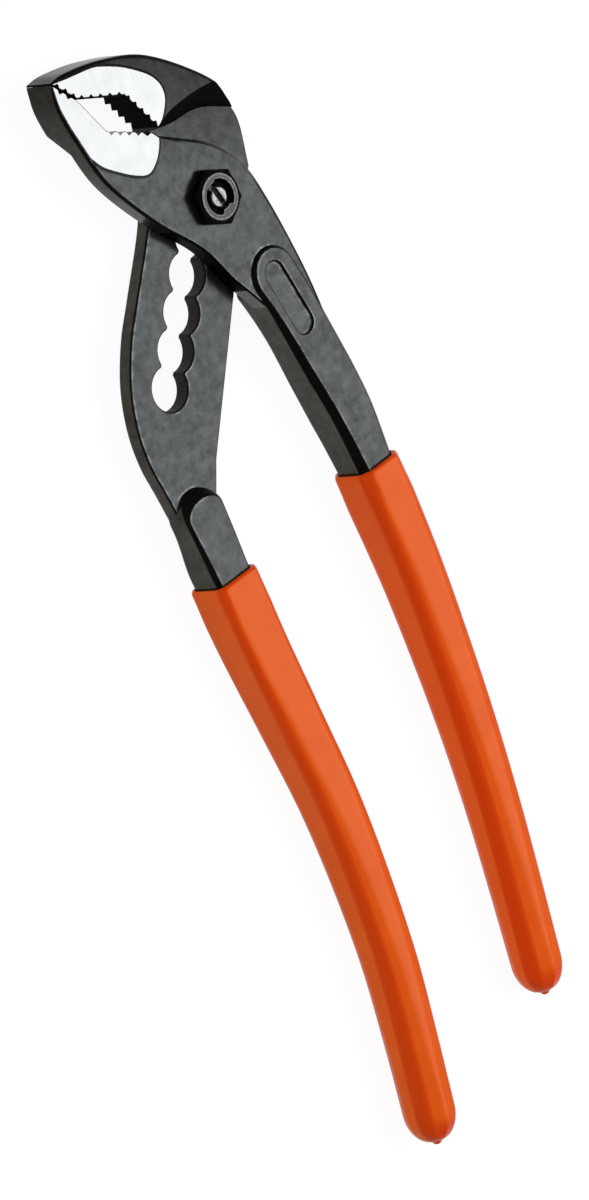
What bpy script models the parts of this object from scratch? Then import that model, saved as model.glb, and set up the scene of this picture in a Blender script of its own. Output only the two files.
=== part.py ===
"""Water pump pliers with a slotted lap joint and two dipped grips.

The tool lies on its back: jaws towards +Y, front face towards +Z. The origin is the centre of the bolt head's
back face, on the pivot axis. Sizes here are in millimetres, and meshes are in metres.
"""

import math

import bmesh
import bpy
from mathutils import Vector

MM = 0.001
SPLINE_STEPS = 4
ROUND_SIDES = 40
SMOOTH_ANGLE = 35.0

# Fits
RUNNING_GAP = 0.3
SEAT_GAP = 0.2
JAW_GAP = 0.35
GRIP_CLEARANCE = 0.15
EDGE_GAP = 0.1

# Layers of the lap joint
BOLT_HEAD_HEIGHT = 2.8
BACK_PLATE = 3.8
FRONT_PLATE = 4.3

# Slot and pivot
SLOT_ANGLE = 43.1
SLOT_PITCH = 8.35
SLOT_HOLES = 6
HOLE_RADIUS = 5.15
JOURNAL_RADIUS = 3.7
BOLT_HEAD_RADIUS = 8.2
BOLT_HEAD_CHAMFER = 0.6
DRIVER_SLOT_WIDTH = 1.3
DRIVER_SLOT_DEPTH = 1.0
DRIVER_SLOT_ANGLE = -78.0
NUT_FLATS = 12.0
NUT_TURN = 10.0
NUT_HEIGHT = 1.3
COLLAR_RADIUS = 5.05
COLLAR_HEIGHT = 1.0
COLLAR_RECESS = 0.5

# Jaws, from the pivot
TOOTH_PITCH = 1.9
TOOTH_DEPTH = 0.6
TIP = (-26.9, 42.1)
TIP_END = (-22.1, 36.9)
UPPER_BITE = (-9.8, 31.1)
UPPER_THROAT = (-5.4, 20.4)
LOWER_BITE = (-18.7, 26.5)
LOWER_HEEL = (-10.0, 21.5)
LOWER_GULLET = (-9.2, 20.2)
LOWER_LIP = (-7.9, 20.3)
LOWER_THROAT = (-6.4, 18.5)

# Head of the slotted lever, from the pivot
HEAD_BACK = [
    (-27.0, 42.6), (-22.3, 42.7), (-12.1, 40.5), (-0.6, 34.9),
    (10.5, 24.4), (17.2, 16.0), (18.2, 10.0),
]
HEAD_HEEL = (15.5, -0.5)
HEAD_ARMPIT = [(-16.0, 1.6), (-10.5, 10.0)]
SCOOP_FOOT = [(-7.0, 19.6), (-2.6, 18.4), (1.9, 17.4), (10.2, 16.4), (20.0, 11.2)]
SCOOP_BROW = [(-7.0, 20.0), (-4.0, 20.8), (-0.1, 21.8), (7.6, 21.9), (16.0, 21.0)]

# Plate and bar of the slotted lever, from the last hole of the slot
PLATE_RIGHT = [(26.2, 8.5), (3.2, -18.9), (-1.2, -26.0), (-3.6, -33.5)]
PLATE_LEFT = [(-11.4, -33.5), (-12.5, -19.5), (-12.6, -11.5), (-9.2, 5.4), (-4.3, 13.9), (1.5, 21.1)]
SLOTTED_NECK = [(-7.4, -26.5), (-7.4, -34.0)]
SLOTTED_MOUTH = (-7.5, -42.0)
TONGUE_SLOPE = 2.7

# Front lever, from the pivot
JAW_BELLY = [
    (-27.6, 41.1), (-28.3, 36.0), (-27.2, 28.0), (-23.4, 16.0),
    (-15.9, 2.6), (-8.0, -8.4), (-4.4, -17.3),
]
PLATE_HIP = [(-1.4, -23.0), (3.4, -32.0)]
PLATE_SHOULDER = [
    (-0.7, 14.8), (5.2, 10.7), (9.6, 5.2), (12.0, 0.0),
    (13.2, -8.2), (14.1, -18.5), (13.6, -32.0),
]
FRONT_NECK = [(6.6, -22.3), (8.6, -30.0), (9.9, -42.0), (10.8, -57.0)]
FRONT_MOUTH = (11.25, -71.5)
PAD_SLOPE = 0.5
RELIEF_RADIUS = 20.2
RELIEF_ARC = (-80, -58)
LAP_SHOULDER = [(-6.5, 19.5), (-9.5, 21.0), (-13.2, 20.2), (-26.9, 25.4)]
LAP_RAMP = [(-6.5, 19.5), (-9.5, 21.2), (-13.6, 21.4), (-28.0, 31.4)]
OVAL_TOP = (6.4, -22.0)
OVAL_BOTTOM = (8.1, -34.9)
OVAL_RADIUS = 2.6
OVAL_DEPTH = 0.4

# Handle bars below the mouth of the grip: reach, and places across the tool at shares of that reach
FRONT_REACH = 119.1
FRONT_TAIL = [(11.3, 0.198), (10.0, 0.359), (8.1, 0.516), (5.5, 0.668), (2.2, 0.818), (-2.1, 1.0)]
SLOTTED_REACH = 129.6
SLOTTED_TAIL = [
    (-7.6, 0.12), (-6.9, 0.272), (-6.3, 0.426), (-7.3, 0.573),
    (-9.4, 0.715), (-12.9, 0.85), (-17.4, 1.0),
]

# Handle bars: size at the nose, at the mouth of the grip and at the end
FRONT_WIDTHS = (12.4, 9.7, 7.0)
FRONT_THICKNESSES = (11.2, 9.8, 7.3)
SLOTTED_WIDTHS = (10.8, 10.3, 7.4)
SLOTTED_THICKNESSES = (8.7, 8.8, 7.6)
BAR_CHAMFERS = (0.8, 1.7, 1.4)
BACK_RAMP = 12.0
NOSE_TURNS = (12, 30, 48, 66, 80)
NOSE_CHAMFER_SHARE = 0.2

# Grips
GRIP_WALL = 0.95
GRIP_END_WALL = 2.2
GRIP_CORNER = 3.2
GRIP_END_TURNS = (25, 50, 70)
GRIP_END_ROUNDING = 0.75
DRIP_RADIUS = 1.1
DRIP_LENGTH = 0.8
DRIP_ROUNDING = 0.9

# Heights that follow from the layers
BACK = BOLT_HEAD_HEIGHT + SEAT_GAP
LAP = BACK + BACK_PLATE
FRONT_LAP = LAP + RUNNING_GAP
FRONT = FRONT_LAP + FRONT_PLATE
BAR_BACK = GRIP_WALL + GRIP_CLEARANCE
SPARE = 3.0

# Line of the slot, from the last hole up to the pivot
SLOT_UP = Vector((math.sin(math.radians(SLOT_ANGLE)), math.cos(math.radians(SLOT_ANGLE))))
LAST_HOLE = -SLOT_UP * SLOT_PITCH * (SLOT_HOLES - 1)
NECK_WIDTH = 2 * math.sqrt(HOLE_RADIUS**2 - (SLOT_PITCH / 2) ** 2)


# Outlines

def from_last_hole(points):
    return [LAST_HOLE + Vector(point) for point in points]


def spline(points):
    """A smooth run of points through the given ones."""
    given = [Vector(point) for point in points]
    knots = [2 * given[0] - given[1], *given, 2 * given[-1] - given[-2]]
    run = []
    for before, start, end, after in zip(knots, knots[1:], knots[2:], knots[3:]):
        for step in range(SPLINE_STEPS):
            t = step / SPLINE_STEPS
            run.append(
                start
                + 0.5 * t * (end - before)
                + t**2 * (before - 2.5 * start + 2 * end - 0.5 * after)
                + t**3 * (1.5 * (start - end) + 0.5 * (after - before))
            )
    return run + [given[-1]]


def teeth(start, end):
    """Points between start and end of a row of teeth cut into the edge, to the right of the run."""
    start, end = Vector(start), Vector(end)
    run = end - start
    count = max(2, round(run.length / TOOTH_PITCH))
    inward = Vector((run.y, -run.x)).normalized() * TOOTH_DEPTH
    points = []
    for tooth in range(count):
        points.append(start + run * (tooth + 0.5) / count + inward)
        points.append(start + run * (tooth + 1) / count)
    return points[:-1]


def arc(centre, radius, first, last, steps=10):
    """Points on a circle from one angle to another, in degrees."""
    centre = Vector(centre)
    angles = [math.radians(first + (last - first) * step / steps) for step in range(steps + 1)]
    return [centre + radius * Vector((math.cos(angle), math.sin(angle))) for angle in angles]


def circle(radius, centre=(0.0, 0.0)):
    return arc(centre, radius, 0, 360, ROUND_SIDES)[:-1]


def stadium(first, last, radius):
    """A slot with round ends about two centres."""
    run = Vector(last) - Vector(first)
    turn = math.degrees(math.atan2(run.y, run.x))
    return arc(last, radius, turn - 90, turn + 90) + arc(first, radius, turn + 90, turn + 270)


# Meshes

def add_object(name, mesh, material=None):
    made = bpy.data.objects.new(name, mesh)
    bpy.context.scene.collection.objects.link(made)
    if material:
        mesh.materials.append(material)
    return made


def loft(name, rings, material=None):
    """A closed body through rings of points, with a flat cap on the first and the last."""
    build = bmesh.new()
    rows = [[build.verts.new(Vector(point) * MM) for point in ring] for ring in rings]
    for lower, upper in zip(rows, rows[1:]):
        for i in range(len(lower)):
            j = (i + 1) % len(lower)
            build.faces.new((lower[i], lower[j], upper[j], upper[i]))
    build.faces.new(reversed(rows[0]))
    build.faces.new(rows[-1])
    bmesh.ops.recalc_face_normals(build, faces=build.faces)
    mesh = bpy.data.meshes.new(name)
    build.to_mesh(mesh)
    build.free()
    return add_object(name, mesh, material)


def prism(name, outline, bottom, top, material=None):
    return loft(name, [[(x, y, z) for x, y in outline] for z in (bottom, top)], material)


def combine(body, tool, operation):
    """Joins a helper to a body, or cuts it out. The helper goes when the body is finished."""
    modifier = body.modifiers.new(tool.name, 'BOOLEAN')
    modifier.operation = operation
    modifier.object = tool


def join(body, tool):
    combine(body, tool, 'UNION')


def cut(body, tool):
    combine(body, tool, 'DIFFERENCE')


def finish(body):
    """Keeps the joined and cut shape as the body's own mesh, smooth where it is round."""
    graph = bpy.context.evaluated_depsgraph_get()
    mesh = bpy.data.meshes.new_from_object(body.evaluated_get(graph))
    mesh.shade_smooth()
    mesh.set_sharp_from_angle(angle=math.radians(SMOOTH_ANGLE))
    helpers = [modifier.object for modifier in body.modifiers]
    body.modifiers.clear()
    body.data = mesh
    for helper in helpers:
        bpy.data.objects.remove(helper)


def paint(name, colour, roughness, metallic):
    material = bpy.data.materials.new(name)
    material.use_nodes = True
    shader = material.node_tree.nodes['Principled BSDF']
    shader.inputs['Base Color'].default_value = (*colour, 1.0)
    shader.inputs['Roughness'].default_value = roughness
    shader.inputs['Metallic'].default_value = metallic
    return material


# Handle bars and grips

def along(path):
    """Each point of a path with its direction and its distance from the start."""
    reached = 0.0
    stations = []
    for i, point in enumerate(path):
        direction = (path[min(i + 1, len(path) - 1)] - path[max(i - 1, 0)]).normalized()
        if i:
            reached += (point - path[i - 1]).length
        stations.append((point, direction, reached))
    return stations


def below(mouth, tail, reach):
    """Points of a bar below the mouth of its grip."""
    return [(across, mouth[1] - share * reach) for across, share in tail]


def taper(sizes, reached, mouth, end):
    """A size between its values at the nose, at the mouth and at the end."""
    at_nose, at_mouth, at_end = sizes
    if reached < mouth:
        return at_nose + (at_mouth - at_nose) * reached / mouth
    return at_mouth + (at_end - at_mouth) * (reached - mouth) / (end - mouth)


def place(point, direction, section):
    """A section, given across the bar and in height, set square to the bar."""
    across = Vector((-direction.y, direction.x))
    return [(*(point + across * side), height) for side, height in section]


def octagon(width, bottom, top, chamfer):
    side = width / 2
    flat = side - chamfer
    right = [(side, bottom + chamfer), (side, top - chamfer), (flat, top)]
    left = [(-x, z) for x, z in reversed(right)]
    return [(flat, bottom), *right, *left, (-flat, bottom)]


def rounded(width, bottom, top, corner, steps=4):
    side, middle = width / 2 - corner, (bottom + top) / 2
    rise = (top - bottom) / 2 - corner
    corners = [(side, -rise, -90), (side, rise, 0), (-side, rise, 90), (-side, -rise, 180)]
    ring = []
    for x, z, first in corners:
        ring += [(px, middle + pz) for px, pz in arc((x, z), corner, first, first + 90, steps)]
    return ring


class Bar:
    """The run of a handle bar: its path, and its sizes along the path."""

    def __init__(self, neck, mouth, tail, widths, thicknesses):
        self.mouth_index = SPLINE_STEPS * len(neck)
        self.stations = along(spline([*neck, mouth, *tail]))
        self.mouth = self.stations[self.mouth_index][2]
        self.end = self.stations[-1][2]
        self.widths = widths
        self.thicknesses = thicknesses

    def sizes(self, reached):
        return [taper(sizes, reached, self.mouth, self.end)
                for sizes in (self.widths, self.thicknesses, BAR_CHAMFERS)]

    def crest(self, reached):
        """Height of the bar's front face."""
        return BAR_BACK + taper(self.thicknesses, reached, self.mouth, self.end)

    def nose(self, floor, slope):
        """Rings of the round end, which rises from the floor height over the length of the slope."""
        centre, direction, _ = self.stations[0]
        width, thickness, chamfer = self.sizes(0)
        radius = width / 2
        top = BAR_BACK + thickness
        rings = []
        for turn in NOSE_TURNS:
            reach = radius * (1 - math.cos(math.radians(turn)))
            wide = 2 * radius * math.sin(math.radians(turn))
            crest = floor + (top - floor) * min(1, reach / slope)
            edge = min(chamfer, NOSE_CHAMFER_SHARE * wide)
            point = centre - direction * (radius - reach)
            rings.append(place(point, direction, octagon(wide, BACK + RUNNING_GAP, crest, edge)))
        return rings

    def rings(self, floor, slope):
        rings = self.nose(floor, slope)
        for point, direction, reached in self.stations:
            width, thickness, chamfer = self.sizes(reached)
            drop = min(1, reached / BACK_RAMP)
            bottom = BACK + RUNNING_GAP + (BAR_BACK - BACK - RUNNING_GAP) * drop
            rings.append(place(point, direction, octagon(width, bottom, BAR_BACK + thickness, chamfer)))
        return rings


def grip(name, bar, material):
    """A sleeve closed at the end: out along its outside, and back inside to the mouth."""
    bore, outside = [], []
    for point, direction, reached in bar.stations[bar.mouth_index:]:
        width, thickness, chamfer = bar.sizes(reached)
        top = BAR_BACK + thickness
        gap, wall = GRIP_CLEARANCE, GRIP_WALL + GRIP_CLEARANCE
        hollow = octagon(width + 2 * gap, BAR_BACK - gap, top + gap, chamfer + gap / 2)
        bore.append(place(point, direction, hollow))
        cover = rounded(width + 2 * wall, BAR_BACK - wall, top + wall, GRIP_CORNER)
        outside.append(place(point, direction, cover))
    point, direction, reached = bar.stations[-1]
    width, thickness, chamfer = bar.sizes(reached)
    bore.append([tuple(Vector(corner) + Vector((*direction, 0)) * GRIP_CLEARANCE) for corner in bore[-1]])
    wall = GRIP_WALL + GRIP_CLEARANCE
    middle = BAR_BACK + thickness / 2
    length = GRIP_CLEARANCE + GRIP_END_WALL
    for turn in GRIP_END_TURNS:
        reach = length * math.sin(math.radians(turn))
        share = 1 - GRIP_END_ROUNDING * (1 - math.cos(math.radians(turn)))
        half = (thickness / 2 + wall) * share
        ring = rounded((width + 2 * wall) * share, middle - half, middle + half, GRIP_CORNER * share)
        outside.append(place(point + direction * reach, direction, ring))
    for reach, radius in ((length, DRIP_RADIUS), (length + DRIP_LENGTH, DRIP_RADIUS / 2)):
        ring = rounded(2 * radius, middle - radius, middle + radius, DRIP_ROUNDING * radius)
        outside.append(place(point + direction * reach, direction, ring))
    sleeve = loft(name, outside, material)
    outward = Vector((*bar.stations[bar.mouth_index][1], 0)) * -SPARE
    first = [tuple(Vector(corner) + outward) for corner in bore[0]]
    cut(sleeve, loft(name + '_bore', [first, *bore]))
    finish(sleeve)


# Levers

def front_lever(bar, material):
    gap = Vector((TIP_END[1] - TIP[1], TIP[0] - TIP_END[0])).normalized() * JAW_GAP
    tip, tip_end = Vector(TIP) + gap, Vector(TIP_END) + gap
    outline = [tip, *teeth(tip, tip_end), tip_end, *teeth(tip_end, LOWER_BITE), LOWER_BITE]
    outline += [*teeth(LOWER_BITE, LOWER_HEEL), LOWER_HEEL, LOWER_GULLET, LOWER_LIP]
    outline += spline([LOWER_THROAT, *PLATE_SHOULDER])
    outline += list(reversed(spline([*JAW_BELLY, *PLATE_HIP])))
    lever = prism('front_lever', outline, BACK, FRONT, material)
    reach = 2.5 * RELIEF_RADIUS
    right = [(reach, -reach), (reach, reach / 2), (0, reach / 2)]
    left = [(-reach, reach), (-reach, -reach)]
    levels = ((LAP_RAMP, -SPARE), (LAP_RAMP, BACK), (LAP_SHOULDER, FRONT_LAP))
    rings = [[(x, y, z) for x, y in right + shoulder + left] for shoulder, z in levels]
    cut(lever, loft('front_lap', rings))
    join(lever, loft('front_bar', bar.rings(FRONT - RUNNING_GAP, PAD_SLOPE)))
    clear = Vector((RUNNING_GAP + EDGE_GAP, 0))
    relief = [Vector(PLATE_RIGHT[-1]) + clear, Vector(PLATE_RIGHT[-2]) + clear]
    relief += arc((0, 0), RELIEF_RADIUS, *RELIEF_ARC)
    relief += [(reach, -reach / 2), (reach, 0), (-reach, 0), (-reach, PLATE_RIGHT[-1][1])]
    cut(lever, prism('nose_relief', relief, -SPARE, FRONT_LAP))
    cut(lever, prism('pivot_eye', circle(JOURNAL_RADIUS + RUNNING_GAP), 0, FRONT + SPARE))
    oval = [(x, y, bar.crest(FRONT_NECK[0][1] - y)) for x, y in stadium(OVAL_TOP, OVAL_BOTTOM, OVAL_RADIUS)]
    cut(lever, loft('oval_recess', [[(x, y, z + rise) for x, y, z in oval] for rise in (-OVAL_DEPTH, SPARE)]))
    finish(lever)


def slotted_lever(bar, material):
    outline = [UPPER_THROAT, *teeth(UPPER_THROAT, UPPER_BITE), UPPER_BITE]
    outline += [*teeth(UPPER_BITE, TIP_END), TIP_END, *teeth(TIP_END, TIP), TIP]
    outline += spline([*HEAD_BACK, HEAD_HEEL])
    outline += from_last_hole(PLATE_RIGHT)
    outline += spline([*from_last_hole(PLATE_LEFT), *HEAD_ARMPIT, UPPER_THROAT])[:-1]
    lever = prism('slotted_lever', outline, BACK, FRONT, material)
    low = from_last_hole([SLOTTED_MOUTH])[0]
    around = [(-2 * low.x, low.y), (2 * low.x, low.y), (2 * low.x, SCOOP_FOOT[0][1])]
    foot, brow = spline(SCOOP_FOOT), spline(SCOOP_BROW)
    over = [top + (top - low_point) * SPARE / (FRONT - LAP) for low_point, top in zip(foot, brow)]
    levels = ((foot + around, LAP), (brow + around, FRONT), (over + around, FRONT + SPARE))
    cut(lever, loft('scoop', [[(x, y, z) for x, y in ring] for ring, z in levels]))
    join(lever, loft('slotted_bar', bar.rings(LAP, TONGUE_SLOPE)))
    for hole in range(SLOT_HOLES):
        centre = -SLOT_UP * SLOT_PITCH * hole
        cut(lever, prism(f'slot_hole_{hole + 1}', circle(HOLE_RADIUS, centre), 0, LAP + SPARE))
    finish(lever)


# Pivot

def pivot_bolt(material):
    heights = ((0, BOLT_HEAD_CHAMFER), (BOLT_HEAD_CHAMFER, 0), (BOLT_HEAD_HEIGHT, 0))
    rings = [[(x, y, z) for x, y in circle(BOLT_HEAD_RADIUS - inset)] for z, inset in heights]
    bolt = loft('pivot_bolt', rings, material)
    shank = HOLE_RADIUS - RUNNING_GAP
    half_flat = NECK_WIDTH / 2 - RUNNING_GAP
    swing = math.degrees(math.asin(half_flat / shank))
    turn = 90 - SLOT_ANGLE
    back = turn + 180
    keyed = arc((0, 0), shank, turn - swing, turn + swing) + arc((0, 0), shank, back - swing, back + swing)
    join(bolt, prism('bolt_flats', keyed, BOLT_HEAD_HEIGHT / 2, LAP))
    join(bolt, prism('bolt_core', circle(half_flat - SEAT_GAP), BOLT_HEAD_HEIGHT / 3, FRONT))
    top = FRONT + SEAT_GAP + NUT_HEIGHT + COLLAR_HEIGHT - COLLAR_RECESS
    join(bolt, prism('bolt_journal', circle(JOURNAL_RADIUS), LAP + RUNNING_GAP / 2, top))
    turn = math.radians(DRIVER_SLOT_ANGLE)
    run = Vector((math.cos(turn), math.sin(turn))) * (JOURNAL_RADIUS + SPARE)
    slot = stadium(-run, run, DRIVER_SLOT_WIDTH / 2)
    cut(bolt, prism('driver_slot', slot, top - DRIVER_SLOT_DEPTH, top + SPARE))
    finish(bolt)


def pivot_nut(material):
    seat = FRONT + SEAT_GAP
    shoulder = seat + NUT_HEIGHT
    hexagon = arc((0, 0), NUT_FLATS / math.sqrt(3), NUT_TURN, NUT_TURN + 360, 6)[:-1]
    nut = prism('pivot_nut', hexagon, seat, shoulder, material)
    join(nut, prism('nut_collar', circle(COLLAR_RADIUS), seat + NUT_HEIGHT / 2, shoulder + COLLAR_HEIGHT))
    cut(nut, prism('nut_bore', circle(JOURNAL_RADIUS + SEAT_GAP), 0, FRONT + 3 * SPARE))
    finish(nut)


def main():
    for old in list(bpy.data.objects):
        bpy.data.objects.remove(old)
    steel = paint('black_steel', (0.06, 0.06, 0.06), 0.45, 0.8)
    bright = paint('pivot_steel', (0.12, 0.12, 0.12), 0.35, 1.0)
    orange = paint('orange_vinyl', (0.72, 0.13, 0.03), 0.45, 0.0)
    tail = below(FRONT_MOUTH, FRONT_TAIL, FRONT_REACH)
    front_bar = Bar(FRONT_NECK, FRONT_MOUTH, tail, FRONT_WIDTHS, FRONT_THICKNESSES)
    tail = from_last_hole(below(SLOTTED_MOUTH, SLOTTED_TAIL, SLOTTED_REACH))
    neck, mouth = from_last_hole(SLOTTED_NECK), from_last_hole([SLOTTED_MOUTH])[0]
    slotted_bar = Bar(neck, mouth, tail, SLOTTED_WIDTHS, SLOTTED_THICKNESSES)
    front_lever(front_bar, steel)
    slotted_lever(slotted_bar, steel)
    pivot_bolt(bright)
    pivot_nut(bright)
    grip('front_grip', front_bar, orange)
    grip('slotted_grip', slotted_bar, orange)


main()
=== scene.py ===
"""Looks of the water pump pliers: detailed shapes, finishes, light and the camera of the photograph.

The frame is the solid model's: jaws towards +Y, front face towards +Z, origin on the pivot axis behind the
bolt head. Sizes here are in millimetres, and meshes are in metres.
"""

import math

import bmesh
import bpy
from mathutils import Matrix, Vector


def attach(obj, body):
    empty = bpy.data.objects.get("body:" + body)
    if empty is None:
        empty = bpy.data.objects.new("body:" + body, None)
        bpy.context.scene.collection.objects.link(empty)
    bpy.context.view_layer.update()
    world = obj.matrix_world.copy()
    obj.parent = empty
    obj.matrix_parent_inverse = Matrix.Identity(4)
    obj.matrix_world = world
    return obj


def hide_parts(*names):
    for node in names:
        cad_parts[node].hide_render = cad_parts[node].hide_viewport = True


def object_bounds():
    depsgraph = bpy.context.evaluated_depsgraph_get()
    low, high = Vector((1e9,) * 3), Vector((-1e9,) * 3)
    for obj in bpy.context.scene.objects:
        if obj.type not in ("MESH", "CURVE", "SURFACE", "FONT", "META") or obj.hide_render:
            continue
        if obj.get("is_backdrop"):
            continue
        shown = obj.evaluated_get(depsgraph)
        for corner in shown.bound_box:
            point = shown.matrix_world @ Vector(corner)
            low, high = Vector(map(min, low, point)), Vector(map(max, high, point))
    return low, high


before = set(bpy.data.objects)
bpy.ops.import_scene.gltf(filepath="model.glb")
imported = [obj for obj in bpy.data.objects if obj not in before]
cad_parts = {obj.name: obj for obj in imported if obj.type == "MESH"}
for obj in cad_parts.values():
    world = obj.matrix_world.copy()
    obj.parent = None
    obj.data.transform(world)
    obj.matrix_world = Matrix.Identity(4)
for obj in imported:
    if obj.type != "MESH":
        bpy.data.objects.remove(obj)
solid_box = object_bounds()

MM = 0.001

# Meshes: turns past the angle stay edges, and a face whose normal points up this far is a flat top
SMOOTH_ANGLE = 32.0
FLAT_UP = 0.95
SPLINE_STEPS = 10
CORNER_SHARE = 0.45
PAINT_REACH = 0.3
OVERLAP = 0.02

# Places of the finishes that some faces of the levers, and of the bolt and nut, have: bright ground steel,
# matt black painted shade (over blackened steel on the nut), and pale rubbed steel that is also a painted
# highlight
LEVER_BRIGHT, LEVER_SHADE_BLACK = 1, 2
PIVOT_SHADE_BLACK, PIVOT_RUBBED_HIGHLIGHT = 1, 2

# Fits and layers of the lap joint
RUNNING_GAP = 0.3
SEAT_GAP = 0.2
JAW_GAP = 0.12
BACK, LAP, FRONT_LAP, FRONT = 3.0, 6.8, 7.1, 11.4
BAR_BACK = 1.1
SPARE = 3.0

# Slot and pivot
SLOT_ANGLE = 43.1
SLOT_PITCH = 8.35
SLOT_HOLES = 6
HOLE_RADIUS = 5.15
HOLE_TRIM = 0.2
HOLE_EDGE = 0.4
HOLE_BACK_EDGE = 0.2
NECK_RADIUS = 3.15
JOURNAL_RADIUS = 3.7
BOLT_HEAD_RADIUS = 8.2
BOLT_HEAD_HEIGHT = 2.8
BOLT_HEAD_EDGE = 0.6
BOLT_HEAD_FLAT = 1.0
BOLT_CORE = 2.5
JOURNAL_FOOT = 0.2
BOLT_TOP = 13.4
# This near its top, the bolt's end is pale as rubbed steel and painted highlight
BOLT_RUBBED_HIGHLIGHT_DEPTH = 0.05
# Between these depths under its top, down in the nut's bore, the bolt is painted shade black
BOLT_SHADE_DEPTHS = (0.3, 1.5)
DRIVER_SLOT_WIDTH = 1.3
DRIVER_SLOT_DEPTH = 1.0
DRIVER_SLOT_ANGLE = -78.0
DRIVER_SLOT_EDGE = 0.15
NUT_FLATS = 11.7
NUT_CORNER = 6.7
NUT_TURN = 33.0
NUT_SEAT, NUT_SHOULDER, NUT_TOP = 11.6, 13.4, 13.9
NUT_CHAMFER = 0.4
NUT_CHAMFER_INSET = 0.05
NUT_SEAT_EDGE = 0.15
# Below this depth under its top, the nut's blackened sides are painted shade black
NUT_SHADE_DEPTH = 0.25
NUT_STEPS = 96
COLLAR_RADIUS = 5.05

# Journal's edge: in from its radius, and depth below the bolt's top. Bolt's end: radius and depth
JOURNAL_EDGE = [(0.0, 1.1), (0.3, 0.85)]
BOLT_END = [(2.45, 0.8), (2.3, 0.7), (2.2, 0.2), (2.0, 0.03), (1.7, 0.0)]
# Lip of the nut: out from the bore, depth below the top, and how far staking presses it in
NUT_LIP = [(0.0, 0.7, 0.0), (0.0, 0.45, 0.9), (0.03, 0.18, 1.0), (0.25, 0.0, 1.0)]
# Collar of the nut: in from its radius, and depth below the top
COLLAR_EDGE = [(0.35, 0.0), (0.0, 0.22), (0.0, 0.4), (-0.15, 0.45)]
# Staking, in degrees from the end of the driver slot: where it ends and over what it fades
STAKE_END, STAKE_FADE = 29.0, 8.0
FAR_STAKE_START, FAR_STAKE_FADE, FAR_STAKE_SHARE = 160.0, 10.0, 0.35

# Jaws, from the pivot
TOOTH_PITCH = 2.5
TOOTH_DEPTH = 0.95
TOOTH_LAND = 0.05
GROOVE_OVERLAP = 0.04
TIP = (-26.9, 42.1)
TIP_END = (-22.5, 36.2)
UPPER_BITE = (-10.5, 30.5)
UPPER_THROAT = (-5.7, 20.2)
LOWER_BITE = (-18.7, 26.5)
LOWER_HEEL = (-10.0, 21.5)
LOWER_GULLET = (-9.2, 20.2)
LOWER_LIP = (-7.9, 20.3)
LOWER_THROAT = (-6.4, 18.5)

# Bright ground sides of the jaws: their edge against the black forging
UPPER_GROUND = [
    (-26.6, 42.2), (-22.7, 41.3), (-15.9, 40.0), (-12.6, 38.7), (-7.6, 35.7), (-2.6, 31.4),
    (-0.6, 28.3), (-0.4, 25.6), (-1.4, 23.5), (-3.6, 21.3), (-5.7, 20.2),
]
LOWER_GROUND = [
    (-25.9, 24.2), (-23.8, 20.7), (-20.9, 17.9), (-16.7, 14.6), (-13.2, 13.0),
    (-10.2, 14.1), (-8.0, 16.1), (-6.4, 18.5),
]
GROUND_BORDER = 0.65
GROUND_STEP = 0.18

# Head of the slotted lever, from the pivot
HEAD_BACK = [
    (-27.0, 42.6), (-22.3, 42.5), (-12.1, 40.1), (-0.5, 35.0),
    (10.8, 24.6), (16.7, 15.9), (18.8, 9.3),
]
HEAD_HEEL = (16.3, -0.9)
HEAD_ARMPIT = [(-16.0, 1.6), (-10.5, 10.0)]
HEAD_UNDERSIDE = [(10.0, -8.0), (-14.0, 0.0)]
HEAD_ROUNDING = (0.5, 0.8, 1.1, 0.9, 0.7, 0.6, 0.6)
BACK_ROUNDING = 0.5
SCOOP_FOOT = [(-7.0, 19.6), (-2.6, 18.4), (1.9, 17.4), (10.2, 16.4), (20.0, 11.2)]
SCOOP_BROW = [(-7.0, 20.0), (-4.0, 20.8), (-0.1, 21.8), (7.6, 21.9), (16.0, 21.0)]

# Edge of the slotted plate where it is under the head, from the pivot
PLATE_THROAT = (-8.2, 15.0)
PLATE_UNDER_HEAD = [(-3.0, 22.0), (9.0, 20.5), (15.0, 16.0)]
PLATE_HEEL_KNOT = 5

# Plate and bar of the slotted lever, from the last hole of the slot
PLATE_RIGHT = [(26.6, 8.3), (3.7, -19.2), (-0.7, -26.3), (-3.5, -33.5)]
PLATE_LEFT = [
    (-11.8, -33.5), (-12.9, -19.5), (-13.6, -11.3), (-12.7, -3.2), (-9.6, 5.5), (-4.2, 13.9), (2.1, 20.8),
]
SLOTTED_NECK = [(-7.4, -26.5), (-7.4, -34.0)]
SLOTTED_MOUTH = (-7.5, -42.0)
SLOTTED_REACH = 129.6
SLOTTED_TAIL = [
    (-7.6, 0.12), (-6.9, 0.272), (-6.3, 0.426), (-7.3, 0.573),
    (-9.4, 0.715), (-12.9, 0.85), (-17.4, 1.0),
]
TONGUE_SLOPE = 2.3

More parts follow.
